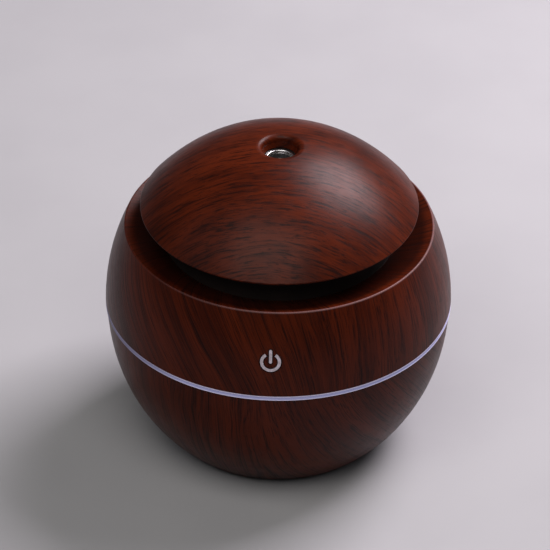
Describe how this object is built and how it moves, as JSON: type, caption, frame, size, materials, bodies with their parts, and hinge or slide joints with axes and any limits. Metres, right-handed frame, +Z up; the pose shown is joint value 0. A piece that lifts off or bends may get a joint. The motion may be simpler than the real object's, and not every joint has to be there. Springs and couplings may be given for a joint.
{
  "type": "cool mist humidifier",
  "caption": "Ball-shaped desktop cool mist humidifier: wood-look water bowl, lift-off head with light ring, touch key, wick and domed cap with mist outlet.",
  "frame": {"origin": "centre of the base, on the surface it stands on", "axes": "+Z up through the mist outlet, -Y towards the touch key, +Y towards the power socket"},
  "size_m": [0.1, 0.1, 0.0957],
  "materials": {
    "wood_print": "water-transfer wood grain print under satin lacquer",
    "translucent": "frosted translucent, lit from inside",
    "icon": "frosted translucent inlay",
    "white_plastic": "fine moulded texture",
    "silicone": "smooth silicone",
    "foot_silicone": "matt silicone",
    "steel": "polished",
    "ceramic": "silvered ceramic",
    "fibre": "compressed fibre",
    "dark_plastic": "plain moulded, matt",
    "board": "solder mask",
    "component_black": "moulded epoxy",
    "lamp": "moulded lens",
    "can": "sleeved can",
    "copper": "enamelled wire",
    "wire": "smooth insulation"
  },
  "bodies": {
    "tank": {"tank_bowl": "wood_print", "tank_liner": "white_plastic", "foot_pads": "foot_silicone"},
    "head": {"upper_shell": "wood_print", "dome_cap": "wood_print", "cap_frame": "dark_plastic", "light_ring": "translucent", "power_icon": "icon", "head_base": "white_plastic", "lead_plug": "white_plastic", "head_seal": "silicone", "atomizer_seal": "foot_silicone", "mesh_plate": "steel", "outlet_bezel": "steel", "touch_spring": "steel", "usb_shell": "steel", "base_screws": "steel", "board_screws": "steel", "cap_screws": "steel", "piezo_ring": "ceramic", "main_board": "board", "driver_chip": "component_black", "usb_tongue": "component_black", "chip_parts": "ceramic", "boost_coil": "copper", "capacitors": "can", "led_lamps": "lamp", "atomizer_leads": "wire"},
    "wick_holder": {"wick_tube": "white_plastic", "wick_spring": "steel"},
    "wick": {"wick": "fibre"}
  },
  "joints": [
    {"name": "head_lift", "type": "slide", "parent": "tank", "child": "head", "axis": [0, 0, 1], "range_m": [0, 0.08]},
    {"name": "holder_twist", "type": "hinge", "parent": "head", "child": "wick_holder", "pos_m": [0, 0, 0.0386], "axis": [0, 0, 1], "range_deg": [0, 70]},
    {"name": "wick_press", "type": "slide", "parent": "wick_holder", "child": "wick", "axis": [0, 0, 1], "range_m": [-0.003, 0], "stiffness_N_per_m": 150, "springref_m": 0.003, "deforming": ["wick_spring"]}
  ]
}
